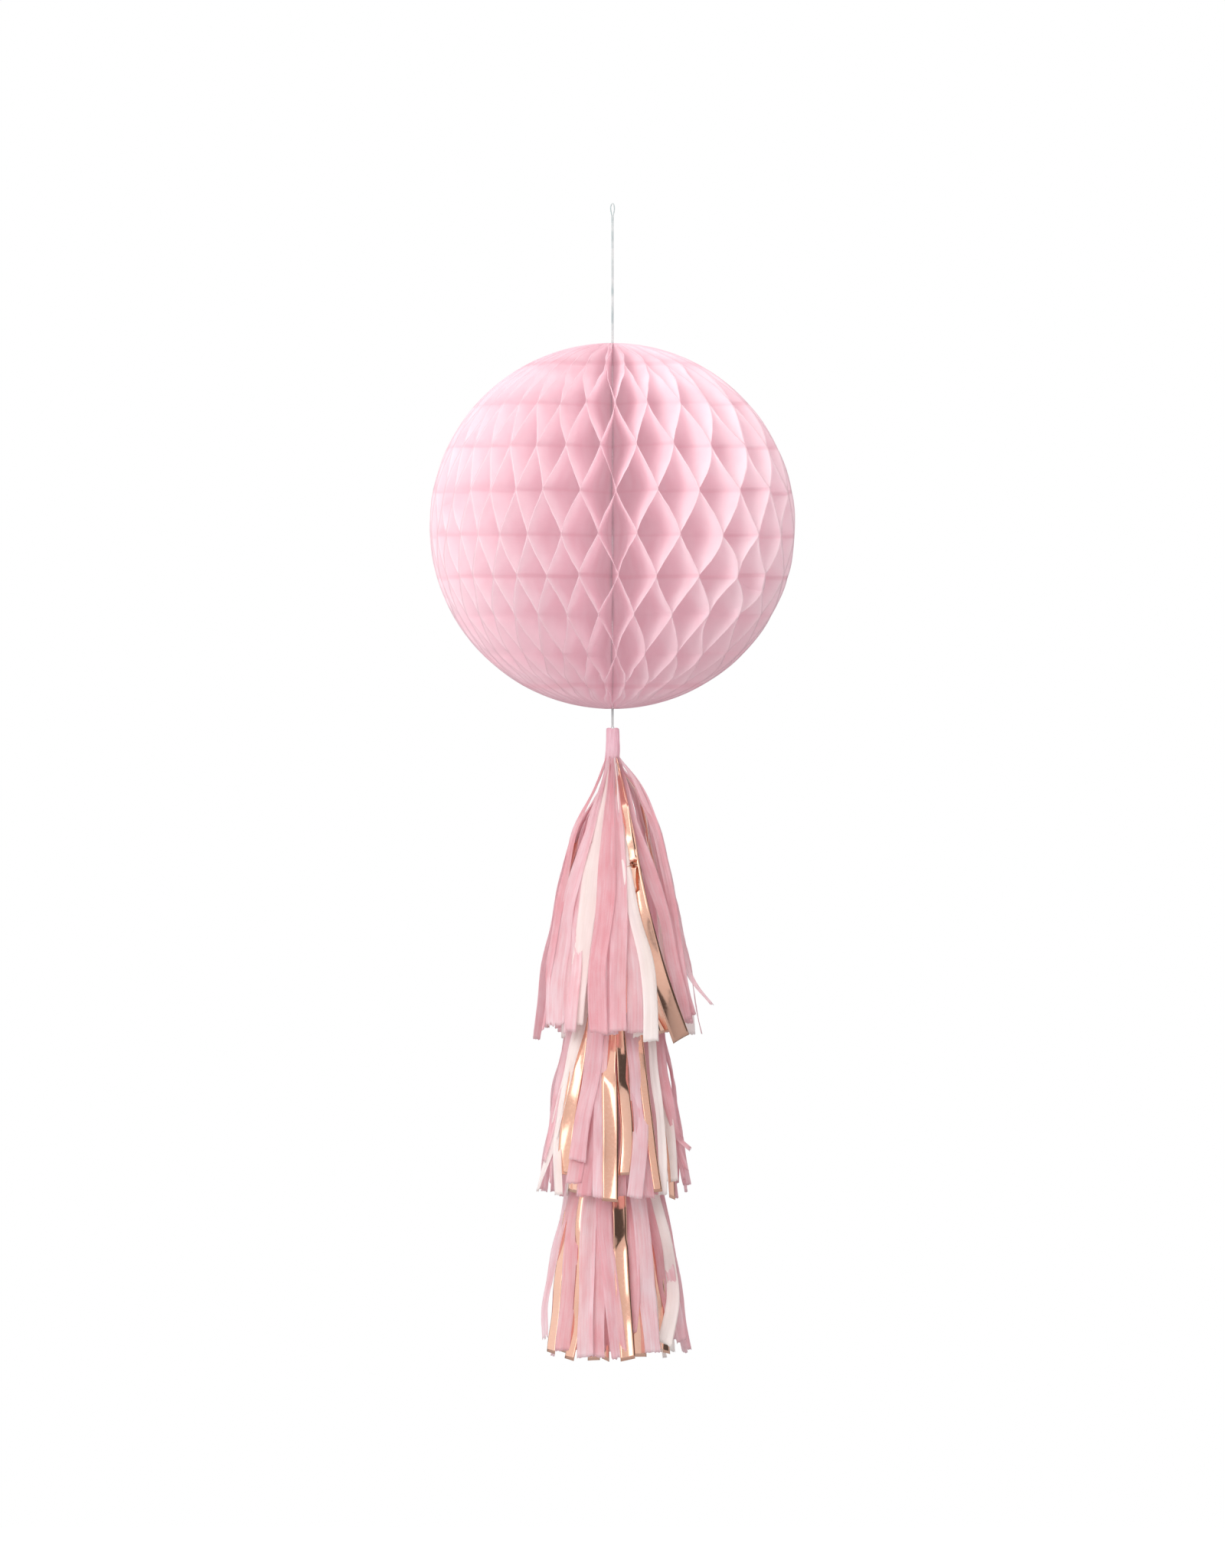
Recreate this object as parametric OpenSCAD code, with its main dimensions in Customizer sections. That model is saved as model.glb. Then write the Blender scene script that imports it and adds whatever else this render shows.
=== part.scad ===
// Hanging tissue honeycomb ball with a three-tier tissue and foil tassel tail.
// Millimetres, +Z up. The origin is where a hook bears inside the top of the hanging loop.
// The ball fans open about the vertical spine from one card board round to the other.

/* [Honeycomb ball] */
// Diameter of the open ball
ball_d = 300; // [200:10:400]
// Drop from the hook to the top of the ball
ball_drop = 114; // [60:1:200]
// Tissue sheets in the whole fan, two to a node
sheet_count = 56; // [40:4:56]
// Thickness of a sheet with its glue
sheet_t = 0.2; // [0.15:0.05:0.2]
// Height between glue lines
glue_pitch = 33.7; // [24:0.1:40]
// Height of the middle glue line above the ball's centre
glue_offset = -7.5; // [-12:0.5:12]
// How strongly the sheets crowd to one side, 0 being even
crowding = 0.33; // [0:0.01:0.35]
// Direction in which the sheets are furthest apart, in degrees from +X
sparse_side = 20; // [0:5:355]

/* [Card boards] */
// Thickness of the half-round board at each end of the fan
board_t = 0.6; // [0.4:0.1:0.6]
// Width and height of an adhesive tab
tab_size = 16; // [8:1:24]

/* [Thread] */
// Diameter of one strand, the thread being doubled everywhere
strand_d = 0.9; // [0.6:0.1:0.9]
// Diameter of a knot
knot_d = 4; // [3:0.5:4]

/* [Tassels] */
// Gap between the ball and the top tassel's neck
tail_gap = 15; // [10:1:40]
// Height from one tassel to the next
tier_pitch = 130; // [120:5:180]
// Height of a twisted neck
neck_h = 32; // [24:1:40]
// Diameter of the neck at its top
neck_top_d = 10.2; // [9:0.2:12]
// Diameter of the neck where the strips leave it
neck_low_d = 12.6; // [12:0.2:13]
// Strips round a tassel
strip_count = 36; // [24:1:36]
// Drop of the shortest strip below the neck's foot
strip_drop = 222; // [180:1:222]
// Extra drop of the longest strip
hem_rag = 6; // [0:1:6]
// Width of the top tassel at its hem
hem_d_1 = 142; // [130:1:150]
// Width of the middle tassel at its hem
hem_d_2 = 130; // [120:1:142]
// Width of the bottom tassel at its hem
hem_d_3 = 122; // [110:1:142]

/* [Hidden] */
$fn = 32;
ball_r = ball_d / 2;
ball_z = -ball_drop - ball_r;
seam_turn = 0.198;        // where the seam falls on the crowded turn, as a share of it
seam_half = 1;            // half the gap that both boards and the tabs share at the seam
glue_gap = 0.06;          // clearance across a glue line
bore_r = 4.5;             // radius left open round the spine thread
board_inset = 12;         // keeps the boards apart near the spine when the fan is folded
tab_pitch = 0.6 * ball_r; // distance between tabs up the board
pole_step = 8;            // polar angle between the levels near the poles
pole_angles = [3, 3 + pole_step, 3 + 2 * pole_step, 3 + 3 * pole_step];
pair_count = sheet_count / 2;

knot_r = knot_d / 2;
knot_sink = 3;            // depth of each knot's centre inside the ball's pole
top_knot_z = -ball_drop - knot_sink;
low_knot_z = ball_z - ball_r + knot_sink;
knot_clear = 0.3;         // air between a knot and the thread that pivots on it

strand_r = strand_d / 2;
strand_x = 0.5;           // half the distance between the two strands
eye_foot = -9.6;          // lowest point of the eye
leg_top = -10.9;          // highest point of the hanging thread
leg_foot = top_knot_z + knot_r + knot_clear;

tail_top = ball_z - ball_r - tail_gap;
neck_bore_r = 1.2;
neck_mouth_r = 2.2;
neck_mouth_h = 5;
tie_r = 1;
tie_knot_d = 4.6;
tie_knot_z = -neck_h - 2.6;
strip_t = 0.3;
strip_top_r = 6.9;
strip_top_z = -neck_h + 2;
strip_fill = 0.95;        // share of its place that a strip covers
hem_d = [hem_d_1, hem_d_2, hem_d_3];
PINK = 0;
IVORY = 1;
FOIL = 2;

// The eye's centre line in X and Z, a narrow teardrop
EYE_ROUTE = [[-0.6, -9.6], [-0.9, -8], [-1.3, -6], [-1.5, -4], [-1.4, -2], [-0.9, -0.2], [0, 0.5],
    [0.9, -0.2], [1.4, -2], [1.5, -4], [1.3, -6], [0.9, -8], [0.6, -9.6]];

function two_digits(k) = str(k < 10 ? "0" : "", k);
TIERS = ["upper", "middle", "lower"];
CELL_NODES = [for (k = [1:pair_count]) str("tissue_cells_", two_digits(k))];
THREAD_NODES = ["hanging_loop_eye", "hanging_thread", "top_knot", "spine_thread", "bottom_knot"];
BOARD_NODES = ["fixed_card_board", "opening_card_board", "adhesive_tabs"];
TIER_NODES = [for (t = TIERS, p = ["thread", "neck", "tie", "pink_strips", "ivory_strips", "foil_strips"])
    str(t, "_tassel_", p)];

// Skins a stack of closed outlines that have the same number of points. Both halves of the outline
// are split along matching diagonals, so that the two walls of a thin twisted sheet never cross.
module skin(rings) {
    n = len(rings[0]);
    last = len(rings) - 1;
    points = [for (ring = rings, p = ring) p];
    sides = [for (k = [0:last - 1], i = [0:n - 1]) let (a = k * n + i, b = k * n + (i + 1) % n)
        each i < n / 2 ? [[a, a + n, b], [b, a + n, b + n]] : [[a, a + n, b + n], [a, b + n, b]]];
    foot = [for (i = [0:n - 1]) i];
    head = [for (i = [n - 1:-1:0]) last * n + i];
    polyhedron(points, concat([foot], sides, [head]), convexity = 6);
}

// ---- thread ----

function ahead(route, i) = let (
    d = route[min(i + 1, len(route) - 1)] - route[max(i - 1, 0)]) d / norm(d);

// Tube along a route of X and Z points, with eight sides
module strand(route) {
    skin([for (i = [0:len(route) - 1]) let (t = ahead(route, i))
        [for (a = [0:45:315]) [
            route[i][0] - strand_r * sin(a) * t[1],
            strand_r * cos(a),
            route[i][1] + strand_r * sin(a) * t[0]]]]);
}

module hanging_loop_eye() {
    color("whitesmoke") strand(EYE_ROUTE);
}

module hanging_thread() {
    rings = 36;
    color("whitesmoke") for (side = [-1, 1])
        strand([for (k = [0:rings]) [side * strand_x, leg_top + (leg_foot - leg_top) * k / rings]]);
}

module knot(z, d) {
    color("whitesmoke") translate([0, 0, z]) sphere(d = d);
}

// A doubled thread that is held straight between two heights
module held_thread(low, high) {
    color("gainsboro") for (side = [-1, 1])
        translate([side * strand_x, 0, low]) cylinder(r = strand_r, h = high - low);
}

module spine_thread() {
    held_thread(low_knot_z + knot_r + knot_clear, top_knot_z - knot_r - knot_clear);
}

// ---- honeycomb ball ----

function crowded_turn(u) = 360 * u + crowding * 180 / PI * sin(360 * u);

// Direction of glue plane i, from 0 at the fixed board to sheet_count at the opening one
function plane_angle(i) = sparse_side + crowded_turn(seam_turn + i / sheet_count);

// Distance of glue plane i from the spine, so that both boards fit in the seam
function plane_offset(i) = seam_half * (1 - 2 * i / sheet_count);

// 0 where a glue line holds the sheet to the plane before it, 1 where to the one after it
function swing(i, z) = let (
    line = (z - glue_offset) / glue_pitch + i,
    phase = line - 2 * floor(line / 2)) phase < 1 ? phase : 2 - phase;

LEVELS = concat(
    [for (b = pole_angles) -ball_r * cos(b)],
    [for (j = [-12:12]) let (z = glue_offset + j * glue_pitch / 2)
        if (abs(z) < ball_r * cos(pole_angles[3] + 1)) z],
    [for (k = [3:-1:0]) ball_r * cos(pole_angles[k])]);

// Outline of sheet i at height z above the ball's centre
function sheet_ring(i, z) = let (
    w = swing(i, z),
    a = plane_angle(i) * (1 - w) + plane_angle(i + 1) * w,
    off = plane_offset(i) * (1 - w) + plane_offset(i + 1) * w
        + (1 - 2 * w) * (sheet_t + glue_gap) / 2,
    out = [cos(a), sin(a), 0],
    across = [-sin(a), cos(a), 0],
    rim = sqrt(ball_r * ball_r - z * z))
    [for (q = [[bore_r, -1], [rim, -1], [rim, 1], [bore_r, 1]])
        out * q[0] + across * (off + q[1] * sheet_t / 2) + [0, 0, ball_z + z]];

module tissue_cells(k) {
    color("pink") for (i = [2 * k - 2, 2 * k - 1])
        skin([for (z = LEVELS) sheet_ring(i, z)]);
}

// Half-round board whose near face is at the given distance across the seam
module card_board(near) {
    color("lightpink") translate([0, 0, ball_z]) rotate([0, 0, plane_angle(0)])
        translate([0, near + board_t, 0]) rotate([90, 0, 0]) linear_extrude(board_t)
            intersection() {
                circle(r = ball_r - 1, $fn = 96);
                translate([board_inset, -ball_r]) square([ball_r, ball_d]);
            }
}

module fixed_card_board() {
    card_board(seam_half - glue_gap / 2 - board_t);
}

module opening_card_board() {
    card_board(glue_gap / 2 - seam_half);
}

module adhesive_tabs() {
    tab_t = 2 * (seam_half - board_t) - glue_gap;
    color("ivory") for (side = [-1, 0, 1])
        translate([0, 0, ball_z + side * tab_pitch]) rotate([0, 0, plane_angle(0)])
            translate([ball_r / 2, -tab_t / 2, -tab_size / 2])
                cube([tab_size, tab_t - glue_gap / 2, tab_size]);
}

// ---- tassels ----

function neck_top(t) = tail_top - t * tier_pitch;

module tassel_thread(t) {
    above = t == 0 ? low_knot_z - knot_r : neck_top(t - 1) + tie_knot_z - tie_knot_d / 2;
    held_thread(neck_top(t), above - knot_clear);
}

module tassel_neck(t) {
    color("lightpink") translate([0, 0, neck_top(t)]) rotate_extrude()
        polygon([[neck_mouth_r, -1], [neck_mouth_r + 0.8, -0.2], [neck_top_d / 2 - 0.9, -0.2],
            [neck_top_d / 2, -1.4], [neck_top_d / 2 + 0.2, -neck_h / 2], [neck_low_d / 2, -neck_h],
            [neck_bore_r, -neck_h], [neck_bore_r, -neck_mouth_h - 1], [neck_mouth_r, -neck_mouth_h]]);
}

module tassel_tie(t) {
    color("whitesmoke") translate([0, 0, neck_top(t) + tie_knot_z]) {
        sphere(d = tie_knot_d);
        cylinder(r = tie_r, h = -tie_knot_z - neck_mouth_h - 1.5);
    }
}

function strip_kind(i) = i % 6 == 2 ? FOIL : i % 5 == 1 ? IVORY : PINK;

// One flat strip of a tassel, widening down to a slanted end
module strip(t, i) {
    drop = strip_drop + hem_rag / 2 * (1 + sin(137.5 * i + 60 * t));
    lean = atan((hem_d[t] / 2 - strip_top_r) / strip_drop);
    long = drop / cos(lean);
    top_w = 2 * strip_fill * strip_top_r * tan(180 / strip_count) * 0.9;
    low_w = 2 * strip_fill * (strip_top_r + long * sin(lean)) * tan(180 / strip_count);
    slant = hem_rag * sin(80 * i);
    rotate([0, 0, (i + 0.5) * 360 / strip_count]) translate([strip_top_r, 0, strip_top_z])
        rotate([0, -lean, 0]) rotate([90, 0, 90]) linear_extrude(strip_t, center = true)
            polygon([[-top_w / 2, 0], [top_w / 2, 0],
                [low_w / 2, -long + max(slant, 0)], [-low_w / 2, -long + max(-slant, 0)]]);
}

module tassel_strips(t, kind) {
    translate([0, 0, neck_top(t)]) for (i = [0:strip_count - 1])
        if (strip_kind(i + t) == kind) strip(t, i);
}

module tassel_pink_strips(t) {
    color("pink") tassel_strips(t, PINK);
}

module tassel_ivory_strips(t) {
    color("linen") tassel_strips(t, IVORY);
}

module tassel_foil_strips(t) {
    color("lightsalmon") tassel_strips(t, FOIL);
}

// ---- nodes ----

hanging_loop_eye();
hanging_thread();
knot(top_knot_z, knot_d);  // top_knot
spine_thread();
knot(low_knot_z, knot_d);  // bottom_knot
fixed_card_board();
opening_card_board();
adhesive_tabs();
for (k = [1:pair_count]) tissue_cells(k);
for (t = [0:2]) {
    tassel_thread(t);
    tassel_neck(t);
    tassel_tie(t);
    tassel_pink_strips(t);
    tassel_ivory_strips(t);
    tassel_foil_strips(t);
}
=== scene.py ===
import math
from collections import namedtuple

import bpy
import numpy as np
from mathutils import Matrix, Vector


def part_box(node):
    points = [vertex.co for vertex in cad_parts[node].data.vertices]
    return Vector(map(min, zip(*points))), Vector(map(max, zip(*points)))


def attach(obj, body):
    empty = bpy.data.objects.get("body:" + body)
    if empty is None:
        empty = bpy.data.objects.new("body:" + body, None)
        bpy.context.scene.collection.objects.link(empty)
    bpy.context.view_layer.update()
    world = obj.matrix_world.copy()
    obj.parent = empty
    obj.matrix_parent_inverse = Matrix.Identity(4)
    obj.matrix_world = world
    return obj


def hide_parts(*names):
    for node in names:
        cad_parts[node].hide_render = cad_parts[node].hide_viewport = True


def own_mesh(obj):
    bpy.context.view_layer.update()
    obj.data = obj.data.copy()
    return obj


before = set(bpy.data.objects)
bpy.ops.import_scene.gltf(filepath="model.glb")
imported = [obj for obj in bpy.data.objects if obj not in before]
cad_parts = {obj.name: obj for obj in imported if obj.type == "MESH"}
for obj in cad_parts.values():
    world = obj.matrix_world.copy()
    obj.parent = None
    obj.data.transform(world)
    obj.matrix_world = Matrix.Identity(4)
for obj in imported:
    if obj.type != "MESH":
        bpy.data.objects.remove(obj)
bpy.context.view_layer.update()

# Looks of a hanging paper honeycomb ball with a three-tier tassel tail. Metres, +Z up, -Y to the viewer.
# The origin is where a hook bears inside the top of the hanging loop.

MM = 0.001
TAU = 2 * math.pi
WHITE = (1, 1, 1, 1)
rng = np.random.default_rng(11)    # one seed, so that each run draws the same


def srgb(code):
    """Linear RGBA of a colour given as six hex digits."""
    parts = [int(code[i:i + 2], 16) / 255 for i in (0, 2, 4)]
    return [c / 12.92 if c <= 0.04045 else ((c + 0.055) / 1.055) ** 2.4 for c in parts] + [1.0]


def smooth(x):
    """0 below 0, 1 above 1 and an even S between them."""
    x = np.clip(x, 0, 1)
    return x * x * (3 - 2 * x)


# ---- camera ----

FRAME_HEIGHT = 1.2853248           # metres that the frame shows from top to bottom, at the thread
CAMERA_DISTANCE = 15.0             # far off, as the photo shows hardly any perspective
CAMERA_HEIGHT = -0.4755
SENSOR = 36                        # mm along the frame's height, its longer side


def make_camera():
    data = bpy.data.cameras.new("camera")
    data.sensor_width = SENSOR
    data.lens = SENSOR * CAMERA_DISTANCE / FRAME_HEIGHT
    camera = bpy.data.objects.new("camera", data)
    camera.location = (0, -CAMERA_DISTANCE, CAMERA_HEIGHT)
    camera.rotation_euler = (math.pi / 2, 0, 0)
    bpy.context.collection.objects.link(camera)
    bpy.context.scene.camera = camera


make_camera()

# ---- materials ----

LIGHT_THROUGH = 0.62               # share of the light on tissue that comes out behind it


class Graph:
    """A node tree that is filled one node at a time."""

    def __init__(self, owner):
        owner.use_nodes = True
        self.tree = owner.node_tree
        self.tree.nodes.clear()

    def add(self, kind, *values, out=0, **settings):
        """Adds a node and gives one of its outputs, or the node itself if out is None. Values go into
        its inputs in order, where None leaves one alone."""
        node = self.tree.nodes.new("ShaderNode" + kind)
        named = settings.pop("inputs", {})
        for key, value in settings.items():
            setattr(node, key, value)
        for key, value in [*enumerate(values), *named.items()]:
            if value is None:
                continue
            if isinstance(value, bpy.types.NodeSocket):
                self.tree.links.new(value, node.inputs[key])
            else:
                node.inputs[key].default_value = value
        return node.outputs[out] if out is not None else node

    def math(self, operation, a, b=None):
        return self.add("Math", a, b, operation=operation)

    def noise(self, vector, scale, detail=3.0, rough=0.55, distortion=0.0):
        return self.add("TexNoise", inputs={
            "Vector": vector, "Scale": scale, "Detail": detail, "Roughness": rough,
            "Distortion": distortion})

    def stretch(self, vector, scale):
        return self.add("Mapping", inputs={"Vector": vector, "Scale": scale})

    def ramp(self, value, low, high, to_low=0.0, to_high=1.0):
        """Value carried smoothly from low..high to to_low..to_high."""
        return self.add("MapRange", value, low, high, to_low, to_high,
                        interpolation_type="SMOOTHSTEP")

    def mix(self, share, a, b):
        return self.add("Mix", inputs={0: share, 6: a, 7: b}, out=2, data_type="RGBA")

    def bump(self, height, strength, distance):
        return self.add("Bump", inputs={"Height": height, "Strength": strength, "Distance": distance})

    def output(self, shader):
        self.tree.links.new(shader, self.add("OutputMaterial", out=None).inputs["Surface"])


def new_material(name):
    """A material and its empty node tree."""
    material = bpy.data.materials.new(name)
    return material, Graph(material)


def tissue_shader(g, colour, bump, lift, roughness=0.8, clear=0.0):
    """Matt paper that lets light through, and a share of clear of what is behind it.
    Lift stands for the light that reaches deep layers through many others."""
    paper = g.add("BsdfPrincipled", inputs={
        "Base Color": colour, "Roughness": roughness, "Normal": bump, "Specular IOR Level": 0.25,
        "Sheen Weight": 0.15, "Sheen Roughness": 0.6, "Emission Color": colour,
        "Emission Strength": lift})
    lit = g.add("BsdfTranslucent", colour, bump)
    shader = g.add("MixShader", LIGHT_THROUGH, paper, lit)
    if clear:
        shader = g.add("MixShader", clear, shader, g.add("BsdfTransparent"))
    return shader


def honeycomb_material():
    """Pink tissue: darker towards the cut rim, painted shade that holds back the light the rim catches,
    a faint band at each glue line, fibres and creases.
    """
    material, g = new_material("honeycomb_tissue")
    flat = g.add("TexCoord", out=2)                   # radius and height on the flat half disc
    glue = g.add("Attribute", attribute_name="tone", out=2)
    x, z = (g.add("SeparateXYZ", flat, out=k) for k in (0, 1))
    radius = g.math("SQRT", g.math("ADD", g.math("MULTIPLY", x, x), g.math("MULTIPLY", z, z)))
    # Painted shade: a darker tone along the cut rim, which catches more light than the walls deep in the
    # cells
    rim_shade = g.ramp(radius, BALL_R - 1.3 * MM, BALL_R - 0.2 * MM)
    fibres = g.noise(g.stretch(flat, (1, 2.5, 1)), 900, 4, 0.7)
    cloud = g.noise(flat, 40, 3, 0.5)
    creases = g.noise(g.stretch(flat, (0.35, 2.2, 1)), 60, 2, 0.5, 0.4)
    tone = g.mix(g.ramp(cloud, 0.3, 0.7), srgb("F4E2E7"), srgb("F6E8EC"))
    tone = g.mix(g.ramp(fibres, 0.35, 0.75, 0, 0.3), tone, srgb("F8EEF1"))
    tone = g.mix(g.math("MULTIPLY", glue, 0.1), tone, srgb("E6B3BF"))
    # Painted shade along the rim: a deeper pink
    tone = g.mix(g.math("MULTIPLY", rim_shade, 0.4), tone, srgb("E4C4CD"))
    height = g.math("ADD", creases, g.math("MULTIPLY", fibres, 0.12))
    bump = g.bump(height, 0.35, 0.9 * MM)
    g.output(tissue_shader(g, tone, bump, 0.22))
    return material


def strip_tissue_material(name, pale, deep, clear=0.2):
    """Tissue for the tassels: lengthwise ridges with painted shade in their tone, creases, fibres and a
    cloudy thickness.
    """
    material, g = new_material(name)
    flat = g.add("TexCoord", out=2)                   # across and along the flat strip
    own = g.add("Attribute", attribute_name="tone", out=2)
    fibres = g.noise(g.stretch(flat, (2.0, 1, 1)), 900, 4, 0.7)
    cloud = g.noise(g.stretch(flat, (1.6, 0.6, 1)), 70, 3, 0.5)
    # Lengthwise ridges for the bump, which also deepen the tone as painted shade of the creases
    streaks_and_shade = g.noise(g.stretch(flat, (16, 0.5, 1)), 40, 4, 0.65, 0.3)
    creases = g.noise(g.stretch(flat, (6, 0.4, 1)), 60, 3, 0.6, 0.6)
    # Deeper tone from the cloudy thickness, from the ridges (painted shade) and from each strip's own
    # tone
    share = g.math("ADD", g.math("MULTIPLY", g.ramp(cloud, 0.3, 0.7), 0.3),
                   g.math("MULTIPLY", g.ramp(streaks_and_shade, 0.35, 0.65), 0.35))
    share = g.math("ADD", share, g.math("MULTIPLY", own, 0.5))
    tone = g.mix(share, pale, deep)
    tone = g.mix(g.ramp(fibres, 0.4, 0.8, 0, 0.25), tone, srgb("FFF6F4"))
    height = g.math("ADD", creases, g.math("MULTIPLY", fibres, 0.15))
    height = g.math("ADD", height, g.math("MULTIPLY", streaks_and_shade, 0.35))
    bump = g.bump(height, 0.5, 0.7 * MM)
    g.output(tissue_shader(g, tone, bump, 0.09, roughness=0.72, clear=clear))
    return material


def foil_material():
    """Rose-gold metal foil with crumples and fine scuffs."""
    material, g = new_material("rose_gold_foil")
    flat = g.add("TexCoord", out=2)
    own = g.add("Attribute", attribute_name="tone", out=2)
    crumple = g.noise(g.stretch(flat, (1.2, 0.5, 1)), 55, 2, 0.4, 0.8)
    fine = g.noise(flat, 420, 3, 0.6)
    tone = g.mix(g.math("MULTIPLY", own, 0.6), srgb("F6C9B5"), srgb("E8AC93"))
    tone = g.mix(g.ramp(fine, 0.4, 0.8, 0, 0.2), tone, srgb("FFDDCB"))
    rough = g.ramp(fine, 0.3, 0.8, 0.1, 0.2)
    height = g.math("ADD", crumple, g.math("MULTIPLY", fine, 0.012))
    g.output(g.add("BsdfPrincipled", inputs={
        "Base Color": tone, "Metallic": 1.0, "Roughness": rough,
        "Normal": g.bump(height, 0.22, 1.0 * MM)}))
    return material


def thread_material():
    """White cotton thread with the slanted rope lines of its plies, painted darker as shade of their
    relief, and painted cool shadow in places.
    """
    material, g = new_material("white_thread")
    place = g.add("TexCoord", out=3)
    plies = g.add("TexWave", out=1, bands_direction="DIAGONAL", inputs={
        "Vector": g.stretch(place, (1, 1, 0.8)), "Scale": 650.0, "Distortion": 1.2, "Detail": 1.0})
    # Painted shadow: cool grey patches along the thread
    shade = g.noise(place, 60, 2)
    tone = g.mix(g.ramp(shade, 0.4, 0.65), srgb("CFD2D2"), srgb("A6B4B6"))
    # Painted shade of the rope relief: the ply lines darker grey
    tone = g.mix(g.math("MULTIPLY", plies, 0.35), tone, srgb("8F8F8F"))
    g.output(g.add("BsdfPrincipled", inputs={
        "Base Color": tone, "Roughness": 0.75, "Sheen Weight": 0.3,
        "Normal": g.bump(plies, 0.6, 0.15 * MM)}))
    return material


def spine_material():
    """White thread stitched through the folds, so that it shows only here and there.
    Elsewhere it is pink like the sheets, and it glows: painted light that lifts it out of the bore's
    shade, brighter where it shows.
    """
    material, g = new_material("spine_thread")
    place = g.add("TexCoord", out=3)
    height = g.add("SeparateXYZ", place, out=2)
    plies = g.add("TexWave", inputs={"Vector": place, "Scale": 650.0, "Distortion": 1.2}, out=1,
                  bands_direction="DIAGONAL")
    stitch = g.math("FRACT", g.math("DIVIDE", g.math("SUBTRACT", height, STITCH_FOOT), STITCH))
    shown = g.ramp(g.math("ABSOLUTE", g.math("SUBTRACT", stitch, 0.5)), 0.12, 0.15, 1, 0)
    tone = g.mix(shown, srgb("E4A9B8"), srgb("FFFFFF"))
    # Painted light: an even glow that lifts the thread out of the bore's shade, stronger at the stitches
    g.output(g.add("BsdfPrincipled", inputs={
        "Base Color": tone, "Roughness": 0.75, "Normal": g.bump(plies, 0.5, 0.15 * MM),
        "Emission Color": tone,
        "Emission Strength": g.math("ADD", 0.24, g.math("MULTIPLY", shown, 0.35))}))
    return material


def card_material():
    """Pink card: fibres, a soft mottle and a slightly worn face."""
    material, g = new_material("pink_card")
    place = g.add("TexCoord", out=3)
    fibres = g.noise(g.stretch(place, (1, 1, 3)), 700, 4, 0.7)
    mottle = g.noise(place, 60, 3)
    tone = g.mix(g.ramp(mottle, 0.3, 0.7), srgb("EBAFBE"), srgb("F3C3CE"))
    tone = g.mix(g.ramp(fibres, 0.45, 0.8, 0, 0.4), tone, srgb("F9DCE0"))
    g.output(g.add("BsdfPrincipled", inputs={
        "Base Color": tone, "Roughness": g.ramp(fibres, 0.3, 0.8, 0.6, 0.85),
        "Normal": g.bump(fibres, 0.3, 0.2 * MM)}))
    return material


def foam_material():
    """Ivory foam tab with small cells, painted darker in their pits as shade."""
    material, g = new_material("adhesive_foam")
    place = g.add("TexCoord", out=3)
    cells = g.add("TexVoronoi", inputs={"Vector": place, "Scale": 1500.0})
    blotch = g.noise(place, 200, 2)
    tone = g.mix(g.ramp(blotch, 0.3, 0.7), srgb("EDE4D3"), srgb("F8F2E6"))
    # Painted shade: darker where the bump sinks into each cell's pit
    tone = g.mix(g.ramp(cells, 0.1, 0.5, 0.4, 0), tone, srgb("C9BBA3"))
    g.output(g.add("BsdfPrincipled", inputs={
        "Base Color": tone, "Roughness": 0.7, "Normal": g.bump(cells, 0.4, 0.2 * MM)}))
    return material


# ---- meshes ----


def shell(middle, normal, half):
    """Closed thin solid round a grid of points: its corners and its four-sided faces.
    Normal is the unit vector across it at each point."""
    rows, cols = middle.shape[:2]
    count = rows * cols
    thick = normal * np.broadcast_to(half, (rows, cols))[..., None]
    points = np.concatenate([(middle + thick).reshape(-1, 3), (middle - thick).reshape(-1, 3)])
    at = np.arange(count).reshape(rows, cols)
    front = np.stack([at[:-1, :-1], at[1:, :-1], at[1:, 1:], at[:-1, 1:]], -1).reshape(-1, 4)
    back = front[:, ::-1] + count
    loop = np.concatenate([at[0, :-1], at[:-1, -1], at[-1, :0:-1], at[:0:-1, 0]])
    after = np.roll(loop, -1)
    sides = np.stack([loop, after, after + count, loop + count], -1)
    return points, np.concatenate([front, back, sides])


class Batch:
    """Shells that are gathered into one mesh, each point with its flat coordinates and a tone."""

    def __init__(self):
        self.points, self.faces, self.flat, self.tone, self.count = [], [], [], [], 0

    def add(self, points, faces, flat, tone):
        self.points.append(points)
        self.faces.append(faces + self.count)
        self.flat.append(flat)
        self.tone.append(np.broadcast_to(tone, len(points)))
        self.count += len(points)

    def piece(self, name, material):
        mesh = bpy.data.meshes.new(name)
        faces = np.concatenate(self.faces)
        mesh.from_pydata(np.concatenate(self.points).tolist(), [], faces.tolist())
        uv = mesh.uv_layers.new(name="flat")
        uv.data.foreach_set("uv", np.concatenate(self.flat)[faces.ravel()].astype(np.float32).ravel())
        tone = mesh.attributes.new("tone", "FLOAT", "POINT")
        tone.data.foreach_set("value", np.concatenate(self.tone).astype(np.float32))
        mesh.polygons.foreach_set("use_smooth", [True] * len(faces))
        mesh.materials.append(material)
        made = bpy.data.objects.new(name, mesh)
        bpy.context.collection.objects.link(made)
        return made


def curve_piece(name, route, radius, material, cyclic=False):
    """Round thread along a route of points."""
    data = bpy.data.curves.new(name, "CURVE")
    data.dimensions = "3D"
    data.bevel_depth = radius
    data.bevel_resolution = 4
    data.use_fill_caps = True
    spline = data.splines.new("POLY")
    spline.points.add(len(route) - 1)
    for point, place in zip(spline.points, route):
        point.co = (*place, 1)
    spline.use_cyclic_u = cyclic
    spline.use_smooth = True
    data.materials.append(material)
    made = bpy.data.objects.new(name, data)
    bpy.context.collection.objects.link(made)
    return made


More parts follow.
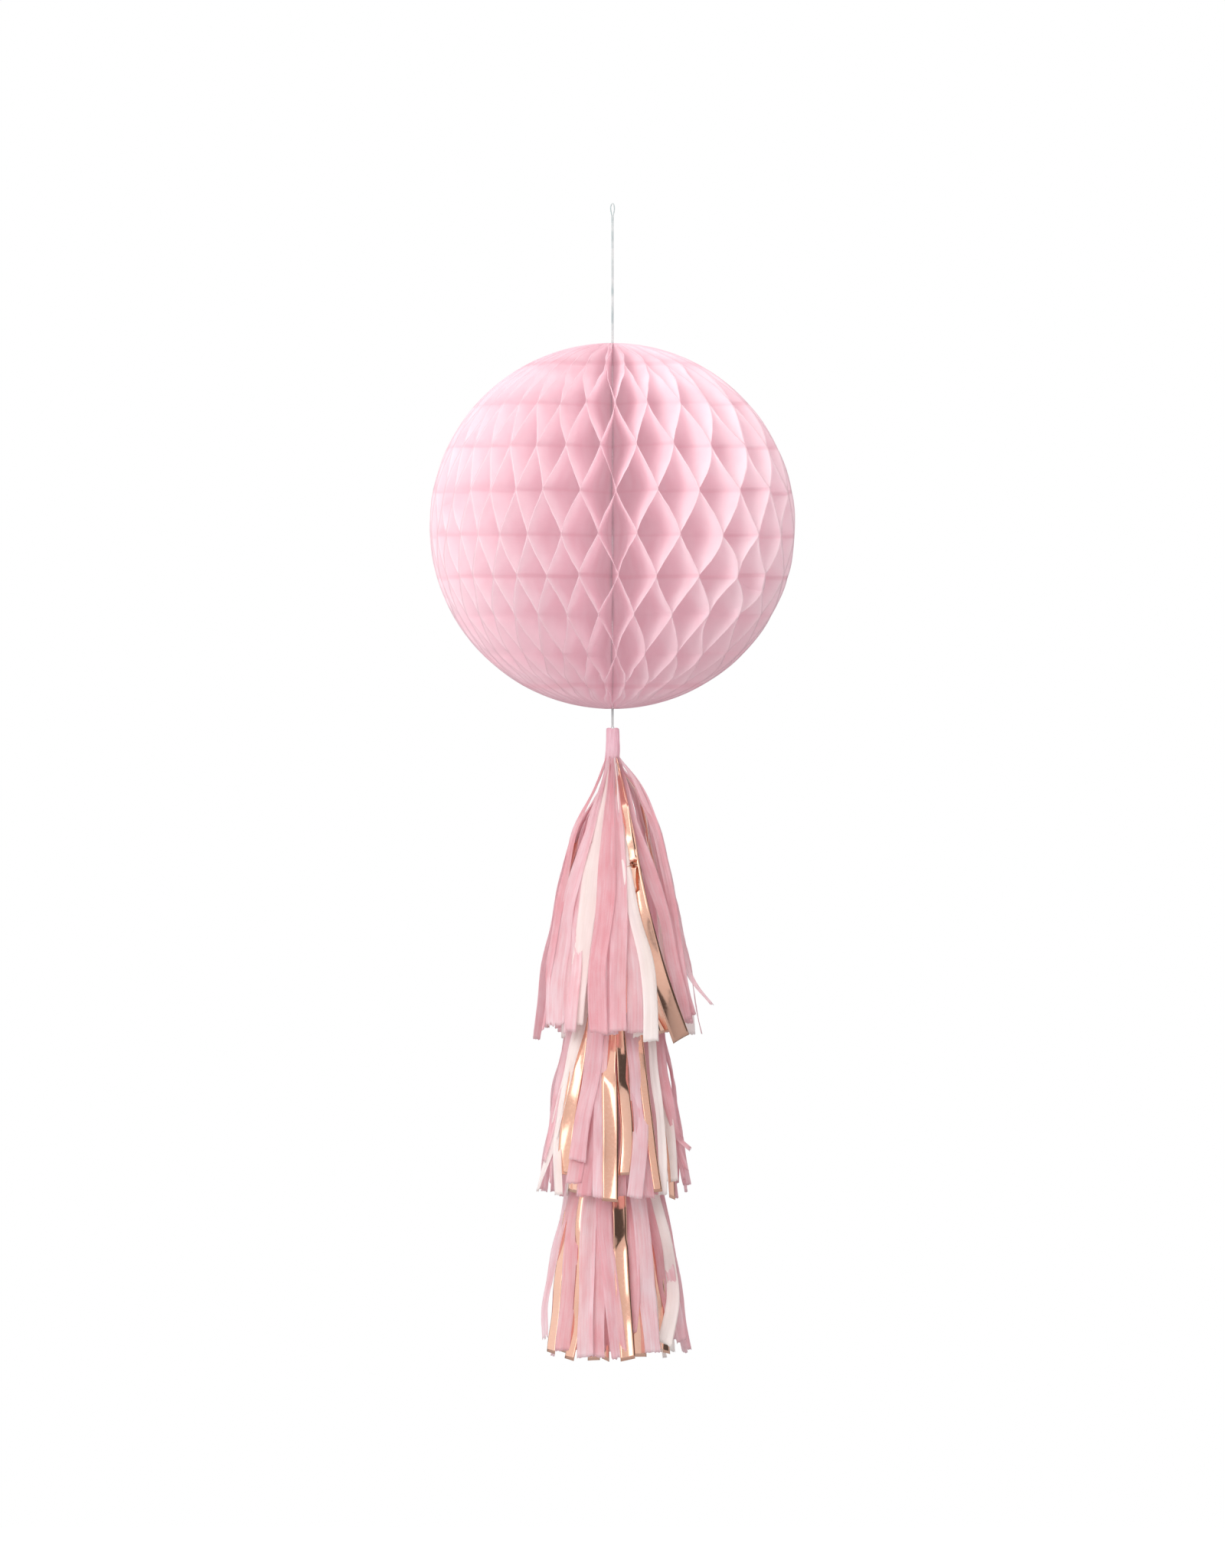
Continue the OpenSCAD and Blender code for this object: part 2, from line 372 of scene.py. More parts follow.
def through(points, steps):
    """Smooth route through some points, with that many steps between each two."""
    p = np.array([points[0], *points, points[-1]], float)
    t = np.linspace(0, 1, steps, endpoint=False)[:, None]
    parts = [0.5 * (2 * b + (c - a) * t + (2 * a - 5 * b + 4 * c - d) * t ** 2
                    + (3 * b - a - 3 * c + d) * t ** 3)
             for a, b, c, d in zip(p, p[1:], p[2:], p[3:])]
    return np.concatenate([*parts, p[-1:]])


# ---- hanging loop and threads ----

STRAND_R = 0.45 * MM
STRAND_X = 0.5 * MM                # how far each strand of a doubled thread is from the axis
EYE_FOOT = -14 * MM                # where the two strands come together under the eye
STITCH = 70 * MM                   # between two places where the spine thread shows
STITCH_FOOT = -316 * MM
KNOT_SIZE = 4 * MM
TIE_KNOT_SIZE = 4.6 * MM
# The eye's centre line in X and Z, the same as the CAD part's
EYE_ROUTE = [(-0.6, -9.6), (-0.9, -8), (-1.3, -6), (-1.5, -4), (-1.4, -2), (-0.9, -0.2), (0, 0.5),
             (0.9, -0.2), (1.4, -2), (1.5, -4), (1.3, -6), (0.9, -8), (0.6, -9.6)]
# Half of the wide turn that a link thread takes inside a neck, in X and in Z from the thread's foot
LINK_BULB = [(0.6, 0.6), (1.25, -1.1), (1.9, -3.0), (1.4, -4.4)]
LINK_FOOT = -5                     # how far down that turn reaches
THREAD = thread_material()


def route_length(route):
    return float(np.linalg.norm(np.diff(np.asarray(route), axis=0), axis=1).sum())


def hanging_loop():
    """One thread up to the hook, through the narrow eye and back down to the top knot."""
    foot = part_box("hanging_thread")[0].z
    side = [(STRAND_X, 0, z) for z in np.linspace(EYE_FOOT, foot, 12)]
    eye = [(x * MM, 0, z * MM) for x, z in EYE_ROUTE]
    corners = [(-x, y, z) for x, y, z in reversed(side)] + eye + side
    route = through(corners, 4)
    piece = curve_piece("hanging_loop", route, STRAND_R, THREAD)
    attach(piece, "thread")
    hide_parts("hanging_thread", "hanging_loop_eye")


def link_thread(tier, body):
    """The doubled thread that carries a tassel: down one side, through the neck's mouth and back up."""
    node = tier + "_tassel_thread"
    low, high = (corner.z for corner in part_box(node))
    side = [(-STRAND_X, 0, z) for z in np.linspace(high, low + 2 * MM, 12)]
    bulb = [(-x * MM, 0, low + z * MM) for x, z in LINK_BULB]
    turn = (0, 0, low + LINK_FOOT * MM)
    route = through([*side, *bulb, turn, *((-x, y, z) for x, y, z in reversed(side + bulb))], 4)
    piece = curve_piece(tier + "_link_thread", route, STRAND_R, THREAD)
    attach(piece, body)
    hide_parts(node)


def knot(name, node, body, size):
    """Small overhand knot of the same thread, in place of a CAD ball."""
    low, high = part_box(node)
    centre = Vector(((low.x + high.x) / 2, (low.y + high.y) / 2, low.z + size / 2))
    reach = size / 2 - STRAND_R
    route = []
    for a in np.linspace(0, TAU, 72, endpoint=False):    # a trefoil
        ring = (2 + math.cos(3 * a)) / 3
        route.append(centre + reach * Vector((
            ring * math.cos(2 * a), ring * math.sin(2 * a), 0.8 * math.sin(3 * a))))
    piece = curve_piece(name, route, STRAND_R, THREAD, cyclic=True)
    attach(piece, body)
    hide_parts(node)


TIERS = ["upper", "middle", "lower"]

hanging_loop()
for tier in TIERS:
    link_thread(tier, tier + "_link")
for name in ("top_knot", "bottom_knot"):
    knot(name + "_wrap", name, name, KNOT_SIZE)

# ---- honeycomb ball ----

BALL_R = 150 * MM
BALL_Z = sum(corner.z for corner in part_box("spine_thread")) / 2
CELL_NODES = sorted(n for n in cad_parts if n.startswith("tissue_cells_"))
SHEETS = 2 * len(CELL_NODES)
# Heights of the glue rows from the ball's middle. The first and last lie past the poles.
GLUE_ROWS = np.array([-160, -131, -106, -74, -42, -7.5, 28, 65, 99.5, 132.5, 166]) * MM
# The next four are the CAD part's
CROWDING = 0.33                    # share by which the sheets stand closer on the crowded side
SPARSE_SIDE = 20.0                 # where they stand furthest apart, in degrees from +X
SEAM_TURN = 0.198                  # where the seam falls on the crowded turn, as a share of it
SEAM_HALF = 1.0 * MM               # half the gap that both boards and the tabs share at the seam
SHEET_T = 0.12 * MM
GLUE_GAP = 0.02 * MM               # between two sheets where they are glued
BORE_R = 1.9 * MM                  # room for the spine thread
BORE_FLARE = 2.2 * MM              # how much wider the bore is at the poles, round the knots
CONTACT = 1.1 * MM                 # half the height of a glue line
ROWS = np.arange(len(GLUE_ROWS))
FRONT = 270.0                      # the viewer's side, in degrees from +X


def plane_angle(p):
    """Direction of a glue plane in degrees from +X, as in the CAD part."""
    turn = SEAM_TURN + p / SHEETS
    return SPARSE_SIDE + 360 * turn + CROWDING * 180 / math.pi * np.sin(TAU * turn)


def unrest(angle):
    """How far cell edges stray, in degrees: little at the front and left of it, more elsewhere."""
    right = (angle - FRONT + 180) % 360 - 180
    return 0.25 + 0.75 * smooth((np.abs(right + 20) - 35) / 30)


def glue_grid():
    """Angle and height of every glue point on the rim, each a little off its place, by plane and row."""
    planes = np.arange(SHEETS + 1)
    loose = ((planes > 0) & (planes < SHEETS))[:, None]
    shape = (SHEETS + 1, len(ROWS))
    stray = loose * (0.4 + unrest(plane_angle(planes)))[:, None]
    angle = plane_angle(planes)[:, None] + stray * rng.uniform(-0.8, 0.8, shape)
    height = GLUE_ROWS + stray * rng.uniform(-1.4, 1.4, shape) * MM
    return angle, height


GLUE_ANGLE, GLUE_HEIGHT = glue_grid()
EDGE_CURL = rng.normal(0, 1.6, (SHEETS, len(ROWS))) * unrest(plane_angle(np.arange(SHEETS)))[:, None]
WALL_BOW = rng.normal(0, 0.7, (SHEETS, len(ROWS))) * MM


def sheet_levels(nodes):
    """Heights of one sheet's grid: even along the rim, and closer where it bends at its glue lines."""
    round_the_rim = -BALL_R * np.cos(np.radians(np.linspace(2.2, 177.8, 84)))
    near = np.concatenate([[-CONTACT - d, CONTACT + d] for d in (0, 1.2 * MM, 3 * MM, 5.5 * MM)])
    bends = (nodes[:, None] + near).ravel()
    bends = bends[np.abs(bends) < BALL_R - 1.5 * MM]
    far = np.abs(round_the_rim[:, None] - bends).min(1) > 1.0 * MM
    return np.sort(np.concatenate([round_the_rim[far], bends]))


COLUMNS = np.array([0, 0.12, 0.3, 0.5, 0.68, 0.82, 0.91, 0.96, 0.985, 1])    # from bore to rim


def sheet_shell(i):
    """One tissue sheet: a half disc that zigzags between the glue plane before it and the one after.
    Its bends are round near the spine and sharper at the rim."""
    plane = i + (ROWS + i + 1) % 2
    node_angle, node_height = GLUE_ANGLE[plane, ROWS], GLUE_HEIGHT[plane, ROWS]
    node_side = (1 - 2 * ((ROWS + i + 1) % 2)) * (SHEET_T + GLUE_GAP) / 2
    node_off = SEAM_HALF * (1 - 2 * plane / SHEETS) + node_side
    z = sheet_levels(node_height)
    k = np.clip(np.searchsorted(node_height, z) - 1, 0, len(ROWS) - 2)
    step = node_height[k + 1] - node_height[k]
    t = np.clip((z - node_height[k] - CONTACT) / (step - 2 * CONTACT), 0, 1)
    glue = (t <= 0) | (t >= 1)
    free = np.sin(math.pi * t)
    rounding = 0.08 + 0.7 * (1 - COLUMNS) ** 0.8
    t = t[:, None] - rounding * (np.sin(TAU * t) / TAU)[:, None]
    angle = node_angle[k][:, None] * (1 - t) + node_angle[k + 1][:, None] * t
    off = node_off[k][:, None] * (1 - t) + node_off[k + 1][:, None] * t

    rim = np.sqrt(BALL_R ** 2 - z ** 2)
    bore = (BORE_R + BORE_FLARE * smooth((np.abs(z) / BALL_R - 0.88) / 0.1))[:, None]
    r = bore + (rim[:, None] - bore) * COLUMNS
    outer = smooth((COLUMNS - 0.6) / 0.4)
    pole = smooth((np.abs(z) / BALL_R - 0.72) / 0.25)
    curl = EDGE_CURL[i, k] * free * (1 + 1.2 * pole)
    ripple = 0.08 * free * np.sin(z / (1.9 * MM) + 2.1 * i)
    crumple = 2.2 * pole * free * np.sin(z / (2.6 * MM) + 0.55 * i)
    degrees = angle + (curl + ripple + crumple)[:, None] * outer
    bow = (WALL_BOW[i, k] * free)[:, None] * np.sin(math.pi * COLUMNS)
    a = np.radians(degrees)
    out = np.stack([np.cos(a), np.sin(a), np.zeros_like(a)], -1)
    across = np.stack([-np.sin(a), np.cos(a), np.zeros_like(a)], -1)
    middle = out * r[..., None] + across * (off + bow)[..., None]
    middle[..., 2] += BALL_Z + z[:, None]
    points, faces = shell(middle, across, SHEET_T / 2)
    flat = np.stack([r, np.broadcast_to(z[:, None], r.shape)], -1).reshape(-1, 2)
    glue = np.broadcast_to(glue[:, None], r.shape).ravel().astype(float)
    return points, faces, np.concatenate([flat, flat]), np.concatenate([glue, glue])


def honeycomb(material):
    """A piece for each pair of sheets, on a body of its own."""
    for k, node in enumerate(CELL_NODES):
        batch = Batch()
        for i in (2 * k, 2 * k + 1):
            batch.add(*sheet_shell(i))
        number = node.rsplit("_", 1)[1]
        piece = batch.piece("tissue_sheets_" + number, material)
        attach(piece, "cells_" + number)
        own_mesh(piece)
        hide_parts(node)


honeycomb(honeycomb_material())

# ---- tassels ----

PINK, IVORY, FOIL = "pink", "ivory", "foil"
STRIP_T = 0.16 * MM
STRIP_ROWS = 72
FOIL_COLUMNS, TISSUE_COLUMNS = 7, 13
NECK_R = 5.1 * MM                  # at the neck's shoulder
NECK_SPREAD = 1.2 * MM             # how much wider it is at its foot
NECK_LIP = 1.2 * MM                # from the shoulder to the neck's top
NECK_TUCK = 1.5 * MM               # how far its foot reaches down among the strips
NECK_TONE = 0.4
NECK_HOLD = 8 * MM                 # how far the strips reach up into the neck
# Azimuths are in degrees from the front, + to the right
OUTER_AZIMUTHS = np.arange(64, 300, 11.5)    # the front's strips take the rest
INNER_AZIMUTHS = (95, 170, 215, 265, 320, 355)
PARTINGS = (155, 214)              # where the upper tassel's back parts
PARTING_TURN, PARTING_WIDTH = 15, 22


class Tassel:
    """Sizes of one tassel, taken from its CAD nodes."""

    def __init__(self, tier):
        self.tier = tier
        self.body = tier + "_tassel"
        low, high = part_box(tier + "_tassel_neck")
        self.neck_top, self.neck_foot = high.z, low.z
        low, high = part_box(tier + "_tassel_pink_strips")
        self.hem_r = (high.x - low.x) / 2
        self.hem_z = low.z


TASSELS = [Tassel(t) for t in TIERS]


def neck_shell(tassel):
    """Twisted neck: two folded lobes side by side, pleats that wind down it, and the thread's mouth."""
    around = np.radians(np.arange(0, 360, 4))
    shoulder, foot = tassel.neck_top - NECK_LIP, tassel.neck_foot - NECK_TUCK
    rings = []
    for v in np.linspace(1, 0, 40):                   # up the outside, from foot to shoulder
        z = shoulder + (foot - tassel.neck_top) * v
        radius = (NECK_R + NECK_SPREAD * v) * (1 - 0.30 * smooth((v - 0.86) / 0.14))
        crease = math.radians(-82 - 26 * v)           # the furrow between the lobes winds as it drops
        fold = np.abs(np.cos(around - crease))
        lobes = -0.95 * MM * np.exp(-(1 - fold) / 0.035) * (1 - 0.5 * v)
        pleats = 0.22 * MM * np.sin(9 * around + 5.5 * v) + 0.12 * MM * np.sin(16 * around - 9 * v + 1)
        shift = 0.25 * MM * math.sin(5 * v)
        rings.append((radius + lobes + pleats, z, shift))
    lobe = np.abs(np.cos(around - math.radians(8)))   # 1 at the sides, 0 at front and back
    # Over the shoulder and down into the mouth: share of the radius, and mm above the shoulder
    for reach, lift in [(0.93, 0.55), (0.78, 0.95), (0.58, 1.05), (0.42, 0.5), (0.34, -0.8),
                        (0.28, -3.6)]:
        high = lift * MM * (0.25 + 0.75 * lobe) if lift > 0 else lift * MM
        rings.append((NECK_R * reach * (1 - 0.12 * (1 - lobe)), shoulder + high, 0))
    grid = np.array([np.stack([radius * np.cos(around) + shift, radius * np.sin(around),
                               z + 0 * around], -1) for radius, z, shift in rings])
    n, m = grid.shape[:2]
    points = np.concatenate([grid.reshape(-1, 3), grid[0].mean(0)[None], grid[-1].mean(0)[None]])
    at = np.arange(n * m).reshape(n, m)
    turned = np.roll(at, -1, axis=1)
    quads = np.stack([at[:-1], turned[:-1], turned[1:], at[1:]], -1).reshape(-1, 4)
    flat = np.stack([np.broadcast_to(around * 5 * MM, (n, m)),
                     grid[..., 2] - tassel.neck_foot], -1).reshape(-1, 2)
    # The ring round each cap, the index of its centre, and whether its faces turn the other way
    caps = [(at[0], n * m, True), (at[-1], n * m + 1, False)]
    return points, quads, np.concatenate([flat, flat[:2]]), caps


def neck(tassel, material):
    """Closed mesh of a neck, in place of the CAD one."""
    points, quads, flat, caps = neck_shell(tassel)
    name = tassel.tier + "_neck"
    mesh = bpy.data.meshes.new(name)
    faces = quads.tolist()
    for ring, centre, turned in caps:
        ring = ring.tolist()
        for a, b in zip(ring, ring[1:] + ring[:1]):
            faces.append([b, a, centre] if turned else [a, b, centre])
    mesh.from_pydata(points.tolist(), [], faces)
    uv = mesh.uv_layers.new(name="flat")
    corners = np.array([v for f in faces for v in f])
    uv.data.foreach_set("uv", flat[corners].astype(np.float32).ravel())
    tone = mesh.attributes.new("tone", "FLOAT", "POINT")
    tone.data.foreach_set("value", np.full(len(points), NECK_TONE, np.float32))
    mesh.polygons.foreach_set("use_smooth", [True] * len(faces))
    mesh.materials.append(material)
    piece = bpy.data.objects.new(name, mesh)
    bpy.context.collection.objects.link(piece)
    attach(piece, tassel.body)
    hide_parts(tassel.tier + "_tassel_neck")


def envelope(tassel, h, slow=0.1):
    """Radius of the tassel a share h of the way from the neck to the hem. It widens later if slow."""
    hold = (4.6 + 2.0 * smooth(h / 0.025)) * MM
    return np.hypot(hold, tassel.hem_r * np.sqrt(h) * (1 - np.exp(-(h / slow) ** 2)))


def front_line(tassel, strip, rows):
    """Route of a strip of the front through the places given for it, and the azimuth it faces."""
    quarter, half, three, end = (x * MM for x in strip.at)
    shoulder = quarter * (0.6 if quarter > 0 else 0.45)
    neck_x = np.clip(shoulder * 0.3, -4 * MM, 4 * MM)
    places = [(0, neck_x), (0.1, shoulder), (0.25, quarter), (0.5, half), (0.75, three)]
    places = [place for place in places if place[0] < strip.drop] + [(strip.drop, end)]
    dense = through([(h, x, 0) for h, x in places], 12)
    h = np.linspace(0, strip.drop, rows)
    x = np.interp(h, dense[:, 0], dense[:, 1])
    radius = envelope(tassel, h)
    y = -np.sqrt(np.maximum((radius * strip.depth) ** 2 - x ** 2, (0.25 * radius) ** 2))
    return np.stack([x, y, strip_height(tassel, h)], -1), np.arctan2(x, -y) * 0.5


def round_line(tassel, azimuth, drift, depth, drop, rows):
    """Route of a strip of the sides or back: down a meridian, apart from some drift near its top.
    The tassel's right side hangs out sooner and wider than its left."""
    h = np.linspace(0, drop, rows)
    azimuth = np.radians(azimuth + drift * (smooth(h * 1.3) - 1))
    right = np.sin(azimuth)
    radius = envelope(tassel, h, 0.12 - 0.05 * right) * (depth + 0.07 * right)
    line = np.stack([radius * right, -radius * np.cos(azimuth), strip_height(tassel, h)], -1)
    return line, azimuth


def strip_height(tassel, h):
    """Height a share h of the way from inside the neck to the hem."""
    start = tassel.neck_foot + NECK_HOLD
    return start + (tassel.hem_z - start) * h


def unit(v):
    return v / np.linalg.norm(v, axis=-1, keepdims=True)


def strip_shell(kind, line, facing, width, roll=0.0, twist=0.0, tip=0.0, torn=1.0, opening=0.45,
                crease=0.57):
    """One limp strip along a line, with its corners' flat coordinates and its length.
    Facing is the azimuth it faces, row by row. Roll and twist turn it about its line in degrees: foil
    turns at its crease and tissue all the way. Tip narrows its end, from 0 to 1, torn is how ragged
    that is in mm, and the strip has opened to its full width at opening. Crease and opening are
    shares of its length."""
    metal = kind == FOIL
    rows, cols = len(line), FOIL_COLUMNS if metal else TISSUE_COLUMNS
    s = np.linspace(0, 1, rows)
    u = np.linspace(-1, 1, cols)
    along = unit(np.gradient(line, axis=0))
    side = np.stack([np.cos(facing), np.sin(facing), np.zeros_like(facing)], -1)
    side = unit(side - along * (side * along).sum(1, keepdims=True))
    face = np.cross(along, side)
    turned = smooth((s - crease + 0.03) / 0.06) if metal else smooth((s - 0.15) / 0.8)
    sway = rng.uniform(2, 7) * np.sin(TAU * s * 1.7 + rng.uniform(0, TAU)) * smooth(s / 0.3)
    turn = np.radians(roll + twist * turned + sway)[:, None]
    side, face = side * np.cos(turn) + face * np.sin(turn), face * np.cos(turn) - side * np.sin(turn)

    wave = sum(rng.uniform(0.3, 0.9) * MM * np.sin(TAU * s * f + rng.uniform(0, TAU))
               for f in (1.3, 2.4, 4.1)) * smooth(s / 0.3)
    wide = width / 2 * (0.24 + 0.76 * smooth(s / opening)) * (1 - tip * smooth((s - 0.72) / 0.28))
    bend = (0.5 * (1 - smooth(s / 0.45)) + rng.uniform(0.02, 0.15)) * rng.choice([-1, 1])
    lift = wave[:, None] + bend[:, None] * wide[:, None] * (u ** 2 - 0.33)
    if not metal:
        wide = wide * (1 + 0.04 * np.sin(TAU * s * 2.3 + rng.uniform(0, TAU)))
        gather = (1 - 0.8 * smooth(s / 0.55))[:, None]
        pleats = np.sin(1.5 * math.pi * u + rng.uniform(0, TAU) + 3 * s[:, None])
        lift = lift + 0.7 * MM * gather * pleats
        for _ in range(3):
            fold = rng.uniform(-0.8, 0.8) + rng.uniform(-0.5, 0.5) * s[:, None]
            depth = rng.uniform(-0.6, 0.6) * MM * (0.35 + 0.65 * gather)
            lift = lift + depth * np.exp(-((u - fold) / 0.16) ** 2)
        lift = lift + 0.35 * MM * u * np.sin(TAU * s * 4.2 + rng.uniform(0, TAU))[:, None]
        lift = lift + rng.normal(0, 0.05, (rows, cols)) * MM

    end = rng.uniform(-1.5, 1.5) * MM * u
    if not metal:
        end = end + rng.uniform(-0.6, 0.6, cols) * torn * MM
    slip = smooth((s - 0.88) / 0.12)[:, None] * end
    middle = (line[:, None] + side[:, None] * (u * wide[:, None])[..., None]
              + face[:, None] * lift[..., None] + along[:, None] * slip[..., None])
    normal = unit(np.cross(np.gradient(middle, axis=0), np.gradient(middle, axis=1)))
    points, faces = shell(middle, normal, STRIP_T / 2)
    run = route_length(line)
    across = u * width / 2 + rng.uniform(0, 5)
    flat = np.stack(np.broadcast_arrays(across[None], run * s[:, None]), -1).reshape(-1, 2)
    return points, faces, np.concatenate([flat, flat]), run


# A strip of the front. Depth is a share of the envelope's radius, width is in mm, drop is the share of
# the height it reaches, roll and twist are in degrees, and at is how many mm right of the axis it
# hangs a quarter, half and three quarters of the way down and at its end. The rest is as in strip_shell.
Strip = namedtuple("Strip", "kind depth width drop roll twist at tip torn opening crease",
                   defaults=(0.0, 1.0, 0.45, 0.57))
FRONT_STRIPS = [
    [   # upper tassel
        Strip(PINK, 1.00, 8, 0.955, 20, 0, (-29, -42, -52, -57), tip=0.75),
        Strip(PINK, 0.95, 17, 0.935, 5, 0, (-18, -34.5, -45, -47), torn=4.0, opening=0.85),
        Strip(PINK, 0.90, 9, 0.965, 15, 0, (-17, -31, -35, -37)),
        Strip(PINK, 0.92, 9, 0.96, 0, 0, (-19, -28, -30, -34)),
        Strip(IVORY, 0.88, 15, 0.935, 0, 0, (-11.5, -19.5, -27, -32), opening=0.3),
        Strip(PINK, 1.00, 15, 0.965, 0, 0, (-3.3, -5.5, -12.3, -11.5)),
        Strip(PINK, 0.97, 14, 0.958, 4, 0, (3.8, 5.3, 4.5, 4.5)),
        Strip(PINK, 0.90, 12, 0.972, 0, 0, (1, 0, -1, -1.5)),
        Strip(PINK, 0.92, 14, 0.965, -6, 0, (6, 11.5, 18, 18.3), opening=0.75),
        Strip(FOIL, 0.76, 12, 0.90, 0, 10, (6, 8, 11, 12)),
        Strip(IVORY, 0.97, 13, 0.994, -6, 0, (7.5, 15.4, 29, 31.8), opening=0.85),
        Strip(IVORY, 0.88, 10, 0.975, 5, 0, (6, 12, 22, 21.7), opening=0.8),
        Strip(FOIL, 0.94, 15, 0.986, 21, -5, (10, 21, 36.5, 55.8), opening=0.3, crease=0.6),
        Strip(FOIL, 0.84, 14, 0.965, -22, 0, (8, 16, 30, 42)),
        Strip(FOIL, 0.99, 11, 0.47, 21, 380, (10.5, 20, 20, 19), tip=0.7, crease=0.8),
        Strip(PINK, 0.95, 12, 0.925, 0, 0, (18, 38, 51, 60)),
        Strip(PINK, 0.90, 9, 0.93, -15, 0, (18, 40, 53, 61), tip=0.2),
        Strip(PINK, 0.99, 8, 0.905, 10, 0, (34, 48, 57, 66), tip=0.3, opening=0.2),
        Strip(PINK, 0.96, 8, 0.87, -20, 30, (36, 50, 62, 81), tip=0.6, opening=0.2),
    ],
    [   # middle tassel
        Strip(PINK, 1.00, 9, 0.86, 15, 0, (-22, -40, -50, -56), tip=0.6),
        Strip(IVORY, 0.97, 10, 0.965, 8, 0, (-19, -33.4, -47, -60.7), tip=0.7),
        Strip(IVORY, 0.94, 7, 0.975, -8, 0, (-19, -33, -44, -44)),
        Strip(PINK, 0.91, 5, 0.935, 0, 0, (-20, -35, -47, -51), tip=0.7),
        Strip(FOIL, 0.89, 12, 0.905, -9, 0, (-21, -27.7, -37, -39.5)),
        Strip(FOIL, 0.83, 9, 0.90, 6, -12, (-17, -25, -34.7, -38)),
        Strip(PINK, 1.00, 14, 0.855, 0, 0, (-11.8, -15.3, -26, -29)),
        Strip(PINK, 0.93, 13, 0.935, 5, 0, (-10, -14, -25, -32)),
        Strip(PINK, 0.87, 13, 0.98, -5, 0, (-6, -11, -17, -23.5)),
        Strip(PINK, 0.97, 9, 0.985, 8, 0, (-4, -8.3, -11.6, -11.4)),
        Strip(FOIL, 1.00, 13, 0.997, 24, -22, (-0.4, -2.6, -1.7, -2.1)),
        Strip(FOIL, 0.92, 11, 0.905, -18, 22, (4, 7.4, 12, 9.3), crease=0.66),
        Strip(PINK, 0.80, 9, 0.98, 0, 0, (3, 5, 6.2, 7)),
        Strip(PINK, 0.96, 13, 0.985, 0, 0, (12, 18.5, 23, 18)),
        Strip(PINK, 0.92, 13, 0.985, -8, 0, (14, 19, 24.3, 28.7)),
        Strip(FOIL, 0.99, 7, 0.965, 4, 4, (18, 23.4, 30.5, 37)),
        Strip(PINK, 0.89, 8, 0.97, 0, 0, (20, 27.4, 34.4, 35)),
        Strip(IVORY, 0.98, 8, 0.975, -8, 0, (25, 33.5, 39.7, 41)),
        Strip(IVORY, 0.92, 8, 0.93, 10, 0, (28, 36.2, 47.2, 50.7), tip=0.2),
        Strip(PINK, 0.97, 11, 0.82, 0, 0, (33, 39.5, 51.6, 63), tip=0.5, torn=2.0),
        Strip(PINK, 0.90, 9, 0.89, 10, 0, (30, 38, 50, 61.3), tip=0.6),
        Strip(PINK, 0.85, 8, 0.925, -10, 0, (28, 37, 48, 58.6), tip=0.6),
        Strip(FOIL, 0.86, 7, 0.99, 10, 15, (26, 34, 44.6, 49), tip=0.3),
    ],
    [   # lower tassel
        Strip(PINK, 1.00, 9, 0.92, 15, 0, (-24, -40.4, -52.3, -56.3), tip=0.2, torn=3.0),
        Strip(FOIL, 0.93, 8, 0.975, 4, 0, (-22, -36.5, -45.3, -49.2)),
        Strip(PINK, 0.97, 13, 0.965, 0, 0, (-18, -31.2, -36, -40.9)),
        Strip(FOIL, 0.88, 12, 0.97, -6, 0, (-17, -30, -36, -41)),
        Strip(FOIL, 0.94, 9, 0.995, -6, 20, (-14, -25.4, -26.8, -35.6)),
        Strip(PINK, 1.00, 13, 0.985, 0, 0, (-11, -19.3, -21, -22.4)),
        Strip(FOIL, 0.81, 10, 0.997, -20, 12, (-7, -12.7, -14.5, -15.3)),
        Strip(PINK, 0.93, 13, 0.985, 6, 0, (-4, -7.4, -11.8, -12.7)),
        Strip(PINK, 0.97, 13, 0.99, -6, 0, (-4, -7, -1, 5.8), torn=2.0),
        Strip(FOIL, 0.98, 12, 0.995, -20, 26, (3, 5.5, 8.5, 12.6), crease=0.59),
        Strip(PINK, 0.92, 10, 0.90, 8, 0, (8, 14.2, 17.7, 14.6)),
        Strip(PINK, 1.00, 14, 0.97, 0, 0, (13, 23, 28.3, 32.7)),
        Strip(PINK, 0.89, 9, 0.88, -8, 0, (17, 30.9, 43.2, 48)),
        Strip(IVORY, 0.97, 12, 0.94, 5, 0, (22, 37.5, 49.8, 43.2)),
        Strip(PINK, 0.93, 9, 0.935, 10, 0, (20, 35.8, 49.8, 56.9)),
        Strip(FOIL, 0.81, 8, 0.975, 12, 0, (17, 31, 38.8, 43.7)),
        Strip(FOIL, 0.84, 11, 0.985, 0, 8, (9, 16, 19, 22.5)),
        Strip(FOIL, 0.76, 6, 0.997, -16, 0, (-2, -4, -6, -5.6)),
    ],
]


def parted(azimuth, drift):
    """Drift of a strip of the upper tassel: its back parts in two places, and its sides start wide."""
    drift *= 0.3
    for parting in PARTINGS:
        beside = azimuth - parting
        drift -= PARTING_TURN * np.sign(beside) * np.exp(-(beside / PARTING_WIDTH) ** 2)
    return drift - (max(100 - azimuth, 0) - max(azimuth - 260, 0))


